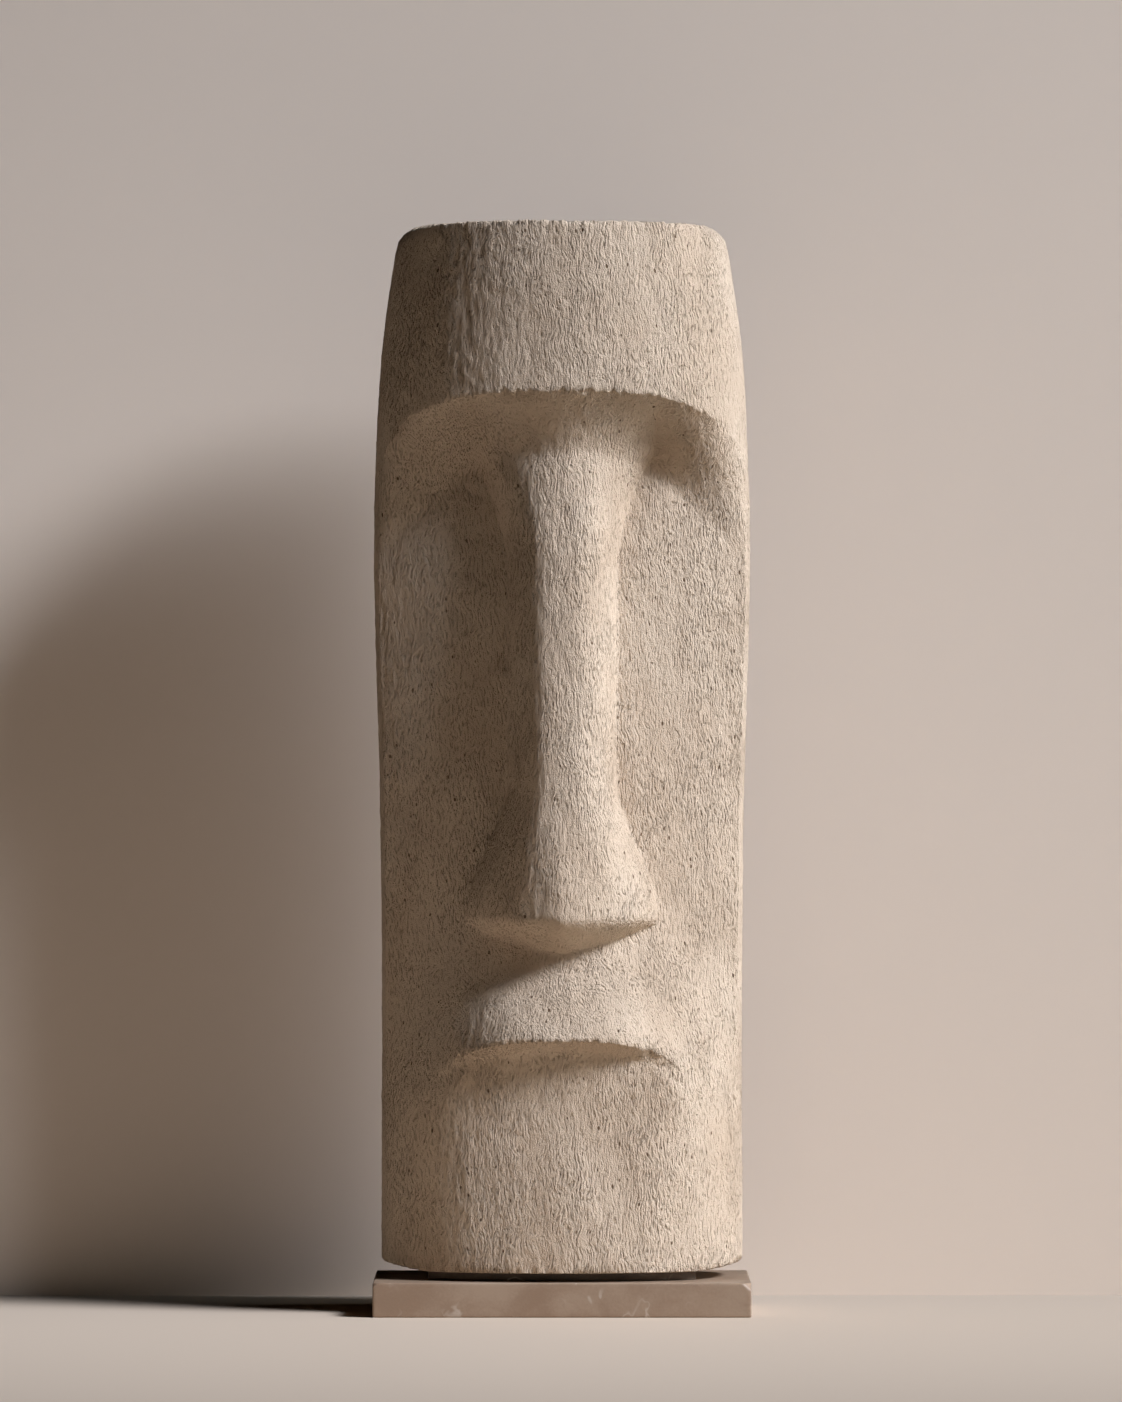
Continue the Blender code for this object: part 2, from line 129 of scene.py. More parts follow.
# Mouth: the arched ridge of the lip, and the chin set back below it
MOUTH_SHARE = 0.2213
MOUTH_END_SHARE = 0.70
MOUTH_DROP = 35 * MM
MOUTH_SQUARENESS = 2.6
LIP_PROUD = 7 * MM
LIP_PROUD_HEIGHT = 45 * MM
LIP_PROUD_CURVE = 2.6
LIP_LEDGE = 3.5 * MM
LIP_LEDGE_HEIGHT = 9 * MM
LEDGE_START_SHARE = 0.3
CHIN_HOLLOW = 6 * MM
CHIN_HOLLOW_HEIGHT = 60 * MM
CHIN_START_SHARE = 0.1
CHIN_END_SHARE = 0.95
CHIN_RETURN_SHARE = 0.7

# Facets of the figure's skin
NOSE_COLUMNS = 50
CHEEK_COLUMNS = 68
EDGE_COLUMNS = 10
BACK_COLUMNS = 88
CHIN_ROWS = 52
LIP_ROWS = 22
NOSE_BASE_ROWS = 10
FACE_ROWS = 118
FOREHEAD_ROWS = 42
ROUND_ROWS = 5
CAP_RINGS = 10
CURVE_STEPS = 6
ROUND_CROWDING = 2.0
CHIN_CROWDING = 1.5
FACE_CROWDING = 1.4

# Tool marks on the figure: depth, and size across and along the strokes
STREAK_DEPTH = 0.22 * MM
STREAK_SIZE = (9 * MM, 9 * MM, 70 * MM)
STROKE_DEPTH = 0.45 * MM
STROKE_SIZE = (2.6 * MM, 2.6 * MM, 7 * MM)
SWAY = 5 * MM
SWAY_SIZE = (22 * MM, 22 * MM, 22 * MM)
SWELL_DEPTH = 0.25 * MM
SWELL_SIZE = (38 * MM, 38 * MM, 55 * MM)
EDGE_WEAR_DEPTH = 0.9 * MM
EDGE_WEAR_SIZE = (2.4 * MM, 2.4 * MM, 4 * MM)
EDGE_WEAR_WIDTH = 2.2 * MM
EDGE_WEAR_GAIN = 2.0
EDGE_WEAR_RAISED = -0.4

# Plinth: eased edges, the two knocked corners (way out of the corner, depth) and the wear of its edges
PLINTH_ARRIS = 0.9 * MM
PLINTH_STEP = 1.2 * MM
ARRIS_ROWS = 5
SIDE_ROWS = 16
TOP_RINGS = 24
WORN_CORNER = ((0.6, -0.45, 0.66), 3.2 * MM)
CHIPPED_CORNER = ((-0.5, -0.5, 0.707), 1.8 * MM)
PLINTH_WEAR_DEPTH = 0.25 * MM
PLINTH_WEAR_SIZE = (2.5 * MM, 2.5 * MM, 2.5 * MM)

# Where in the noise each layer of marks starts, so that no layer repeats another
SWAY_START_ACROSS = 3.7
SWAY_START_DEEP = 9.1
STROKE_START = 1.3
STREAK_START = 5.9
SWELL_START = 7.3
EDGE_WEAR_START = 4.4
CORNER_START = 2.2
RIM_START = 6.1

# Limestone: the darker and the paler tone of its face, the tone of its grooves, which is partly dirt and
# partly painted shade, the tone of its pits, which is painted shade in the holes, and the bump's depth
LIMESTONE_TONES = ((0.62, 0.462, 0.318, 1), (0.71, 0.55, 0.39, 1))
GROOVE_DIRT_AND_SHADE_TONE = (0.54, 0.395, 0.265, 1)
PIT_SHADE_TONE = (0.20, 0.125, 0.07, 1)
LIMESTONE_RELIEF = 1.7 * MM

# Marble: the darker and the paler tone of the plinth and of the riser, their veins, the bump's depth
PLINTH_TONES = ((0.305, 0.198, 0.123, 1), (0.395, 0.278, 0.184, 1))
# The riser's near-black tones are painted shade for the shadow under the figure's overhang; its stone is
# paler in the light.
RISER_SHADE_TONES = ((0.10, 0.07, 0.045, 1), (0.17, 0.12, 0.08, 1))
VEIN_TONE = (0.72, 0.62, 0.50, 1)
MARBLE_RELIEF = 0.06 * MM

# Stage: how far the floor and wall reach, the wall's distance behind the plinth's front, their tones
STAGE_REACH = 4
WALL_DISTANCE = 0.187
FLOOR_TONE = (0.64, 0.50, 0.365, 1)
WALL_TONE = (0.80, 0.665, 0.53, 1)

# Lamps: azimuth from the front round to the right and elevation, in degrees, then the distance, the
# lamp's width, its spread in degrees, its power in watts and its colour
WINDOW_LAMP = (67, 39, 8.0, 2.4, 26, 37, (0.762, 0.835, 1.0))
SIDE_LAMP = (90, 3, 3.0, 1.5, 180, 30, (0.85, 0.93, 1.0))


def smooth_step(low, high, value):
    """0 at low and 1 at high, with a soft rise between them."""
    share = np.clip((value - low) / (high - low), 0.0, 1.0)
    return share * share * (3.0 - 2.0 * share)


def quarter_wave(value):
    """0 at 0 and 1 from 1 on, rising steeply at first and levelling off like an arch."""
    return np.sin(math.pi / 2 * np.clip(value, 0.0, 1.0))


def profile(points, at):
    """The value at a height on a smooth curve through a few (height, value) points."""
    heights, values = np.array(points).T
    slopes = np.gradient(values, heights)
    at = np.clip(at, heights[0], heights[-1])
    index = np.clip(np.searchsorted(heights, at, side="right") - 1, 0, len(points) - 2)
    span = heights[index + 1] - heights[index]
    share = (at - heights[index]) / span
    rest = 1.0 - share
    return (
        rest * rest * (1.0 + 2.0 * share) * values[index]
        + share * share * (3.0 - 2.0 * share) * values[index + 1]
        + rest * rest * share * span * slopes[index]
        - share * share * rest * span * slopes[index + 1]
    )


def arch_drop(across, reach, drop, squareness):
    """How far a square-shouldered arch has fallen at a place across it."""
    share = np.clip(np.abs(across) / reach, 0.0, 1.0)
    return drop * (1.0 - (1.0 - share**squareness) ** (1.0 / squareness))


def half_width(height):
    return FIGURE_WIDTH / 2 * profile(WIDTH_PROFILE, height)


def front_bow(height):
    return FRONT_BOW * profile(FRONT_PROFILE, height)


def back_bow(height):
    return BACK_BOW * profile(BACK_PROFILE, height)


def block_depth(share, height):
    """How far the uncarved front lies behind its middle at a place across it."""
    return front_bow(height) * (1.0 - (1.0 - share**FRONT_SQUARENESS) ** (1.0 / FRONT_SQUARENESS))


def brow_line(across):
    """Height of the brow's edge above the foot, in metres."""
    return BROW_SHARE * FIGURE_HEIGHT - arch_drop(across, HOLLOW_EDGE_SHARE, BROW_DROP, BROW_SQUARENESS)


def mouth_line(across):
    """Height of the lip's edge above the foot, in metres."""
    drop = arch_drop(across, MOUTH_END_SHARE, MOUTH_DROP, MOUTH_SQUARENESS)
    return MOUTH_SHARE * FIGURE_HEIGHT - drop


def nose_base_line(across):
    """Height of the hollow under the nose, which rises from the middle to the nostrils."""
    share = np.clip(np.abs(across) * FIGURE_WIDTH / 2 / NOSTRIL_HALF_WIDTH, 0.0, 1.0)
    return NOSE_BASE_SHARE * FIGURE_HEIGHT + NOSE_BASE_RISE * share**NOSE_BASE_CURVE


def nose_edge_line(across):
    """Height of the nose's lower front edge."""
    return np.full(np.shape(across), NOSE_EDGE_SHARE * FIGURE_HEIGHT)


def crown_line(across):
    """Height of the crown, which falls away towards the sides."""
    return FIGURE_HEIGHT - CROWN_DOME * np.abs(across) ** CROWN_DOME_POWER


def foot_line(across):
    """Height of the foot, which is flat over the riser and lifts towards the sides."""
    past_seat = np.maximum(np.abs(across) - FOOT_SEAT_SHARE, 0.0) / (1.0 - FOOT_SEAT_SHARE)
    return FOOT_ROCKER * past_seat**FOOT_ROCKER_POWER


def nostril_flare(height):
    return 1.0 - smooth_step(NOSE_EDGE_SHARE, NOSE_FLARE_SHARE, height)


def bridge_flare(height):
    share = (height - BRIDGE_FLARE_SHARE) / (BRIDGE_SHARE - BRIDGE_FLARE_SHARE)
    return np.clip(share, 0.0, 1.0) ** 2


def nose_half_width(height):
    widening = (BRIDGE_HALF_WIDTH - NOSE_HALF_WIDTH) * bridge_flare(height)
    flaring = (NOSTRIL_HALF_WIDTH - NOSE_HALF_WIDTH) * nostril_flare(height)
    return NOSE_HALF_WIDTH + widening + flaring


def cove_share(across, z):
    """How much of its full depth the hollow has under the brow, from 0 at the edge to 1 below the cove."""
    sideness = smooth_step(BROW_COVE_SHARE, HOLLOW_EDGE_SHARE, np.abs(across))
    cove = BROW_COVE + (BROW_COVE_END - BROW_COVE) * sideness
    below = np.clip((brow_line(across) - z) / cove, 0.0, 1.0)
    return 1.0 - (1.0 - below) ** BROW_COVE_CURVE


def hollow_floor(height):
    """Depth of the hollow on the centre line, behind the block's front."""
    return CHEEK_DEPTH + (SOCKET_DEPTH - CHEEK_DEPTH) * smooth_step(CHEEK_SHARE, BROW_SHARE, height)


def lip_fade(share, z):
    """How much of the hollow is left as the cheeks come forward to the lip, from 1 to 0."""
    sideness = smooth_step(LIP_SIDE_SHARE, 1.0, share)
    end = mouth_line(0.0) - LIP_SIDE_DROP * sideness
    above = (z - end) / (CHEEK_SHARE * FIGURE_HEIGHT - mouth_line(0.0))
    straight, soft = quarter_wave(above), smooth_step(0.0, 1.0, above)
    return straight + (soft - straight) * sideness


def cheek_depth(share, height):
    """How far the cheeks and eye hollow lie behind the middle of the block's front."""
    upness = smooth_step(SOCKET_LOW_SHARE, SOCKET_HIGH_SHARE, height)
    curve = CHEEK_CURVE + (SOCKET_CURVE - CHEEK_CURVE) * upness
    floor, edge = hollow_floor(height), block_depth(HOLLOW_EDGE_SHARE, height)
    return floor + (edge - floor) * (share / HOLLOW_EDGE_SHARE) ** curve


def hollow_cut(across, z):
    """Depth of the eye hollow and cheeks behind the uncarved block."""
    share = np.minimum(np.abs(across), HOLLOW_EDGE_SHARE)
    height = z / FIGURE_HEIGHT
    cut = np.maximum(cheek_depth(share, height) - block_depth(share, height), 0.0)
    return cut * cove_share(across, z) * lip_fade(share, z)


def nose_ridge_depth(z):
    """Depth of the nose's ridge behind the block's front, negative where it stands proud."""
    height = np.clip(z / FIGURE_HEIGHT, NOSE_EDGE_SHARE, BRIDGE_SHARE)
    share = (height - NOSE_EDGE_SHARE) / (BRIDGE_SHARE - NOSE_EDGE_SHARE)
    return -NOSE_TIP_PROUD + (BRIDGE_DEPTH + NOSE_TIP_PROUD) * share**NOSE_RIDGE_CURVE


def nose_height(across, z):
    """How far the nose stands forward of the hollow."""
    height = z / FIGURE_HEIGHT
    flare = nostril_flare(height)
    share = np.clip(np.abs(across) * half_width(height) / nose_half_width(height), 0.0, 1.0)
    roundness = NOSE_ROUNDNESS + (NOSTRIL_ROUNDNESS - NOSE_ROUNDNESS) * flare
    roundness = roundness + (BRIDGE_ROUNDNESS - NOSE_ROUNDNESS) * bridge_flare(height)
    fullness = NOSE_FULLNESS + (NOSTRIL_FULLNESS - NOSE_FULLNESS) * flare
    section = (1.0 - share**roundness) ** (1.0 / fullness)
    base = nose_base_line(across)
    under = np.clip((z - base) / (nose_edge_line(across) - base), 0.0, 1.0)
    rise = cheek_depth(np.abs(across), height) * lip_fade(0.0, z) - nose_ridge_depth(z)
    return rise * section * (1.0 - (1.0 - under) ** NOSE_UNDERCUT) * cove_share(across, z)


def lip_height(across, z):
    """How far the lip swells forward above its edge."""
    share = np.clip(np.abs(across) / MOUTH_END_SHARE, 0.0, 1.0)
    above = z - mouth_line(across)
    swell = 1.0 - smooth_step(0.0, LIP_PROUD_HEIGHT, above)
    under = 1.0 - quarter_wave(-above / LIP_LEDGE_HEIGHT)
    return LIP_PROUD * (1.0 - share**LIP_PROUD_CURVE) * swell * under


def chin_cut(across, z):
    """Depth under the lip: a short ledge, then a long hollow that comes forward again to the foot."""
    below_lip = mouth_line(across) - z
    share = np.abs(across)
    ledge = LIP_LEDGE * quarter_wave(below_lip / LIP_LEDGE_HEIGHT)
    ledge = ledge * (1.0 - smooth_step(LEDGE_START_SHARE, MOUTH_END_SHARE, share))
    hollow = CHIN_HOLLOW * quarter_wave(below_lip / CHIN_HOLLOW_HEIGHT)
    hollow = hollow * (1.0 - smooth_step(CHIN_START_SHARE, CHIN_END_SHARE, share))
    return (ledge + hollow) * (1.0 - CHIN_RETURN_SHARE * smooth_step(mouth_line(0.0), 0.0, z))


def carving(across, z):
    """Depth from the block's front to the carved face."""
    return hollow_cut(across, z) + chin_cut(across, z) - nose_height(across, z) - lip_height(across, z)


def edge_rounding(across, z):
    """How far the skin draws in where the crown and the foot are rounded."""
    sideness = np.abs(across) ** ROUND_POWER
    inset = 0.0
    for front, side, distance in (
        (CROWN_ROUND_FRONT, CROWN_ROUND_SIDE, crown_line(across) - z),
        (FOOT_ROUND_FRONT, FOOT_ROUND_SIDE, z - foot_line(across)),
    ):
        radius = front + (side - front) * sideness
        into = np.clip(radius - distance, 0.0, radius)
        inset = inset + radius - np.sqrt(radius**2 - into**2)
    return inset


def front_angle(across):
    """The angle at which the block's front section reaches a place across it."""
    return np.arcsin(across ** (FRONT_SQUARENESS / 2.0))


def section_power(angle):
    """The power that turns a circle's sine and cosine into the block's section, front or back."""
    return 2.0 / np.where(np.cos(angle) > 0.0, FRONT_SQUARENESS, BACK_SQUARENESS)


def across_block(angle):
    """Where an angle from the front's middle falls across the block."""
    return np.sign(np.sin(angle)) * np.abs(np.sin(angle)) ** section_power(angle)


def skin_points(angle, z):
    """Points of the figure's skin, at angles round the block from its front and at heights z."""
    height = z / FIGURE_HEIGHT
    across = across_block(angle)
    forward = np.abs(np.cos(angle)) ** section_power(angle)
    front = carving(across, z) - front_bow(height) * forward
    y = np.where(np.cos(angle) > 0.0, front, back_bow(height) * forward)
    x = half_width(height) * across
    draw_in = 1.0 - edge_rounding(across, z) / np.hypot(x, y)
    return np.stack([x * draw_in, y * draw_in, z], axis=-1)


def steps(count, power=1.0):
    """Shares from 0 up to but not 1, closer together near 0 where power is over 1."""
    return (np.arange(count) / count) ** power


def column_angles(columns, z):
    """Angles of the skin's columns at their heights. Columns run along each edge of the nose and hollow."""
    height = z / FIGURE_HEIGHT
    nose = front_angle(nose_half_width(height) / half_width(height))
    edge = front_angle(HOLLOW_EDGE_SHARE)
    side = math.pi / 2
    past = np.abs(columns)
    reach = np.clip(past, 0, 1) * nose
    reach = reach + np.clip(past - 1, 0, 1) * (edge - nose) + np.clip(past - 2, 0, 1) * (side - edge)
    return np.sign(columns) * reach + np.clip(columns - 3, 0, 1) * math.pi


def column_meets(columns, line):
    """Heights at which the columns cross a line of the carving."""
    z = line(np.zeros(len(columns)))
    for _ in range(CURVE_STEPS):
        z = line(across_block(column_angles(columns, z)))
    return z


def skin_rings():
    """Rings of the skin from the foot to the crown, whose rows bend with the carving."""
    quarter = np.concatenate([steps(NOSE_COLUMNS), 1 + steps(CHEEK_COLUMNS), 2 + steps(EDGE_COLUMNS)])
    columns = np.concatenate([quarter, 3 + steps(BACK_COLUMNS), [-3.0], -quarter[:0:-1]])
    lines = (foot_line, mouth_line, nose_base_line, nose_edge_line, brow_line, crown_line)
    foot, mouth, nose_base, nose_edge, brow, crown = [column_meets(columns, line) for line in lines]
    sideness = np.abs(across_block(column_angles(columns, foot))) ** ROUND_POWER
    foot_top = foot + FOOT_ROUND_FRONT + (FOOT_ROUND_SIDE - FOOT_ROUND_FRONT) * sideness
    sideness = np.abs(across_block(column_angles(columns, crown))) ** ROUND_POWER
    crown_low = crown - CROWN_ROUND_FRONT - (CROWN_ROUND_SIDE - CROWN_ROUND_FRONT) * sideness
    zones = (
        (foot, foot_top, steps(ROUND_ROWS, ROUND_CROWDING)),
        (foot_top, mouth, 1.0 - steps(CHIN_ROWS, CHIN_CROWDING)[::-1]),
        (mouth, nose_base, steps(LIP_ROWS)[1:]),
        (nose_base, nose_edge, steps(NOSE_BASE_ROWS)),
        (nose_edge, nose_edge, np.zeros(1)),
        (nose_edge, brow, 1.0 - steps(FACE_ROWS, FACE_CROWDING)[::-1]),
        (brow, crown_low, steps(FOREHEAD_ROWS)[1:]),
        (crown_low, crown, 1.0 - steps(ROUND_ROWS, ROUND_CROWDING)[::-1]),
    )
    rows = [low + (high - low) * shares[:, None] for low, high, shares in zones]
    z = np.concatenate(rows)
    return skin_points(column_angles(columns[None, :], z), z)


def cap_rings(edge, line):
    """Rings from an end's edge in to its middle, on the surface that a line gives across the block."""
    rings = []
    for step in range(1, CAP_RINGS):
        ring = edge * (1.0 - step / CAP_RINGS)
        ring[:, 2] = line(ring[:, 0] / edge[:, 0].max())
        rings.append(ring)
    return np.array(rings)


def ring_normals(rings):
    """Outward directions of a stack of closed rings."""
    around = np.roll(rings, -1, axis=1) - np.roll(rings, 1, axis=1)
    upward = np.gradient(rings, axis=0)
    normals = np.cross(around, upward)
    return normals / np.maximum(np.linalg.norm(normals, axis=-1, keepdims=True), 1e-12)


def noise_at(points, size, shift=0.0):
    """Smooth noise from -1 to 1 whose grain has the given size along X, Y and Z."""
    scaled = points.reshape(-1, 3) / np.array(size) + shift
    return np.array([noise.noise(point) for point in scaled]).reshape(points.shape[:-1])


def tool_marks(points):
    """Depth of the hand tooling: short upright strokes that sway, long streaks and broad swells."""
    swayed = points.copy()
    swayed[..., 0] += SWAY * noise_at(points, SWAY_SIZE, SWAY_START_ACROSS)
    swayed[..., 1] += SWAY * noise_at(points, SWAY_SIZE, SWAY_START_DEEP)
    strokes = STROKE_DEPTH * noise_at(swayed, STROKE_SIZE, STROKE_START)
    streaks = STREAK_DEPTH * noise_at(swayed, STREAK_SIZE, STREAK_START)
    swells = SWELL_DEPTH * noise_at(points, SWELL_SIZE, SWELL_START)
    return strokes + streaks + swells


def edge_wear(points, across):
    """Depth knocked off in small chips along the brow, the crown's rim, the lip and the foot."""
    z = points[..., 2]
    front = points[..., 1] < 0.0
    near = np.full(z.shape, np.inf)
    lines = ((brow_line, True), (mouth_line, True), (crown_line, False), (foot_line, False))
    for line, only_front in lines:
        distance = np.abs(z - line(across))
        near = np.minimum(near, np.where(front | (not only_front), distance, np.inf))
    chips = noise_at(points, EDGE_WEAR_SIZE, EDGE_WEAR_START) * EDGE_WEAR_GAIN
    knock = np.clip(chips, EDGE_WEAR_RAISED, 1.0)
    return -EDGE_WEAR_DEPTH * knock * np.exp(-((near / EDGE_WEAR_WIDTH) ** 2))


def ring_mesh(name, rings, foot_middle, crown_middle):
    """A closed mesh through rings of points, with a fan round a middle point at each end."""
    rows, columns = rings.shape[:2]
    points = np.concatenate([rings.reshape(-1, 3), [foot_middle, crown_middle]])
    here = np.arange(rows * columns).reshape(rows, columns)
    beside = np.roll(here, -1, axis=1)
    quads = np.stack([here[:-1], beside[:-1], beside[1:], here[1:]], axis=-1).reshape(-1, 4)
    foot = [(beside[0, i], here[0, i], rows * columns) for i in range(columns)]
    crown = [(here[-1, i], beside[-1, i], rows * columns + 1) for i in range(columns)]
    mesh = bpy.data.meshes.new(name)
    mesh.from_pydata(points.tolist(), [], quads.tolist() + foot + crown)
    mesh.shade_smooth()
    return mesh


def slab_outline(half, front, back, inset, radius):
    """Points round a slab seen from above, drawn in by an inset, with rounded corners."""
    turns = np.linspace(0.0, math.pi / 2, ARRIS_ROWS)
    corner = np.stack([radius * np.sin(turns), radius * np.cos(turns)], axis=-1)
    middle, depth = (front + back) / 2, (back - front) / 2
    reach = np.array([half - inset - radius, depth - inset - radius])
    bends = []
    for way in ((1, 1), (1, -1), (-1, -1), (-1, 1)):
        turned = corner if way[0] * way[1] > 0 else corner[::-1]
        bends.append(turned * way + reach * way)
    points = []
    for bend, following in zip(bends, bends[1:] + bends[:1]):
        gap = following[0] - bend[-1]
        count = max(int(np.linalg.norm(gap) / PLINTH_STEP), 2)
        points += [bend, bend[-1] + gap * steps(count)[1:, None]]
    return np.concatenate(points)[::-1] + (0.0, middle)


def slab_rings(half, front, back, height):
    """Rings of the plinth's skin from the middle of its underside to the middle of its top."""
    ease = np.linspace(0.0, math.pi / 2, ARRIS_ROWS)
    inset, lift = PLINTH_ARRIS * (1.0 - np.cos(ease)), PLINTH_ARRIS * (1.0 - np.sin(ease))
    sides = np.linspace(lift[0], height - lift[0], SIDE_ROWS)[1:-1]
    shrink = np.arange(1, TOP_RINGS) ** 2 * (PLINTH_STEP / 6)
    shrink = PLINTH_ARRIS + shrink * ((back - front) / 2 - 3 * PLINTH_ARRIS) / shrink[-1]
    flat, top = np.zeros(len(shrink)), np.full(len(shrink), height)
    insets = np.concatenate([shrink[::-1], inset[::-1], 0.0 * sides, inset, shrink])
    levels = np.concatenate([flat, lift[::-1], sides, height - lift, top])
    outline = slab_outline(half, front, back, 0.0, PLINTH_ARRIS)
    middle = np.array([0.0, (front + back) / 2])
    size = np.array([half, (back - front) / 2])
    rings = []
    for draw, level in zip(insets, levels):
        ring = (outline - middle) * (1.0 - draw / size) + middle
        rings.append(np.column_stack([ring, np.full(len(outline), level)]))
    return np.array(rings)


def knock_corner(points, corner, way, depth):
    """Brings the points beyond a flat cut across a corner back to it, a little unevenly."""
    way = np.array(way) / np.linalg.norm(way)
    rough = PLINTH_WEAR_DEPTH * noise_at(points, PLINTH_WEAR_SIZE, CORNER_START)
    past = (points - corner) @ way + depth + rough
    return points - np.maximum(past, 0.0)[..., None] * way


def add_piece(name, mesh, material):
    mesh.materials.append(material)
    piece = bpy.data.objects.new(name, mesh)
    bpy.context.scene.collection.objects.link(piece)
    return piece


class Value:
    """One socket of a material, so that what happens on a surface reads as plain arithmetic."""

    def __init__(self, finish, socket):
        self.finish, self.socket = finish, socket

    def combine(self, operation, first, second=0.0):
        return self.finish.node("ShaderNodeMath", {"operation": operation}, {0: first, 1: second})

    def __add__(self, other):
        return self.combine("ADD", self, other)

    def __radd__(self, other):
        return self.combine("ADD", other, self)

    def __sub__(self, other):
        return self.combine("SUBTRACT", self, other)

    def __rsub__(self, other):
        return self.combine("SUBTRACT", other, self)

    def __mul__(self, other):
        return self.combine("MULTIPLY", self, other)

    def __rmul__(self, other):
        return self.combine("MULTIPLY", other, self)

    def __abs__(self):
        return self.combine("ABSOLUTE", self)


class Finish:
    """A material under construction."""

    def __init__(self, name, roughness):
        self.material = bpy.data.materials.new(name)
        self.material.use_nodes = True
        self.tree = self.material.node_tree
        self.shader = self.tree.nodes["Principled BSDF"]
        self.shader.inputs["Roughness"].default_value = roughness
        place = self.node("ShaderNodeTexCoord", output="Object")
        self.place = self.vector("MULTIPLY", place, (1 / MM, 1 / MM, 1 / MM))

    def node(self, kind, settings=None, inputs=None, output=0):
        """A node with its settings made first, then the values or links of its sockets."""
        node = self.tree.nodes.new(kind)
        for name, value in (settings or {}).items():
            setattr(node, name, value)
        for name, value in (inputs or {}).items():
            self.feed(node.inputs[name], value)
        return Value(self, node.outputs[output])

    def feed(self, socket, value):
        if isinstance(value, Value):
            self.tree.links.new(value.socket, socket)
        else:
            socket.default_value = value

    def vector(self, operation, first, second):
        return self.node("ShaderNodeVectorMath", {"operation": operation}, {0: first, 1: second})

    def grain(self, size, detail=1.0, place=None, output="Fac"):
        """Noise about 0.5 whose grain has the given size in millimetres along X, Y and Z."""
        place = place or self.place
        scaled = self.vector("DIVIDE", place, size)
        sockets = {"Vector": scaled, "Scale": 1.0, "Detail": detail}
        return self.node("ShaderNodeTexNoise", {}, sockets, output)

    def rise(self, value, low, high):
        """0 where the value is at low and 1 where it is at high, with a soft rise between them."""
        limits = {"Value": value, "From Min": low, "From Max": high}
        return self.node("ShaderNodeMapRange", {"interpolation_type": "SMOOTHSTEP"}, limits)

    def blend(self, share, first, second):
        """A colour between two colours."""
        sockets = {0: share, 6: first, 7: second}
        return self.node("ShaderNodeMix", {"data_type": "RGBA"}, sockets, 2)

    def done(self, colour, height, depth):
        """The finished material, with its colour and its relief joined to it."""
        self.feed(self.shader.inputs["Base Color"], colour)
        bump = self.node("ShaderNodeBump", {}, {"Height": height, "Distance": depth, "Strength": 1.0})
        self.feed(self.shader.inputs["Normal"], bump)
        return self.material


def limestone():
    """Pale limestone, tooled by hand in short upright strokes, with small open pits."""
    stone = Finish("tooled limestone", 0.92)
    stone.shader.inputs["Specular IOR Level"].default_value = 0.2
    drift = stone.vector("SUBTRACT", stone.grain((14, 14, 14), 0.0, output="Color"), (0.5, 0.5, 0.5))
    swayed = stone.vector("ADD", stone.place, stone.vector("MULTIPLY", drift, (5, 5, 2)))
    strokes = stone.grain((1.05, 1.05, 4.4), 2.0, swayed)
    tooled = stone.rise(stone.grain((30, 30, 45), 2.0), 0.35, 0.65) * 0.6 + 0.4
    grooves = stone.rise(strokes, 0.30, 0.46)
    grit = stone.grain((0.5, 0.5, 0.7), 2.0)
    cells = {"Vector": stone.vector("DIVIDE", swayed, (4.2, 4.2, 8.5)), "Scale": 1.0}
    reach = stone.node("ShaderNodeTexVoronoi", {}, cells, "Distance")
    tint = stone.node("ShaderNodeTexVoronoi", {}, cells, "Color")
    chance = stone.node("ShaderNodeSeparateColor", {}, {0: tint})
    size = stone.rise(chance, 0.4, 1.0) * 0.19
    pits = stone.rise(reach - size, -0.08, 0.0)
    height = (grooves * 0.6 + strokes * 1.3) * tooled + grit * 0.4 + pits * 0.5
    patch = stone.rise(stone.grain((42, 42, 70), 3.0), 0.3, 0.7)
    face = stone.blend(patch, *LIMESTONE_TONES)
    # The tool grooves and the low grit are darkened: partly dirt in them, partly painted shade in these
    # recesses.
    groove_dirt_and_shade = grooves * 0.75 + stone.rise(grit, 0.3, 0.5) * 0.25
    face_with_groove_dirt_and_shade = stone.blend(groove_dirt_and_shade, GROOVE_DIRT_AND_SHADE_TONE, face)
    # The pits' dark tone is painted shade inside the small holes.
    colour = stone.blend(pits, PIT_SHADE_TONE, face_with_groove_dirt_and_shade)
    return stone.done(colour, height, LIMESTONE_RELIEF)


def marble(name, dark, pale):
    """Honed taupe marble with soft mottling and faint pale veins."""
    stone = Finish(name, 0.45)
    drift = stone.vector("SUBTRACT", stone.grain((25, 25, 25), 2.0, output="Color"), (0.5, 0.5, 0.5))
    bent = stone.vector("ADD", stone.place, stone.vector("MULTIPLY", drift, (30, 30, 22)))
    cloud = stone.grain((34, 34, 20), 4.0, bent)
    fleck = stone.grain((1.6, 1.6, 1.6), 3.0)
    mottle = stone.rise(cloud * 0.8 + fleck * 0.2, 0.34, 0.66)
    ground = stone.blend(mottle, dark, pale)
    line = 1.0 - stone.rise(abs(stone.grain((26, 26, 34), 3.0, bent) - 0.5), 0.0, 0.018)
    share = line * stone.rise(stone.grain((22, 22, 22), 1.0), 0.5, 0.75) * 0.45
    colour = stone.blend(share, ground, VEIN_TONE)
    return stone.done(colour, fleck, MARBLE_RELIEF)


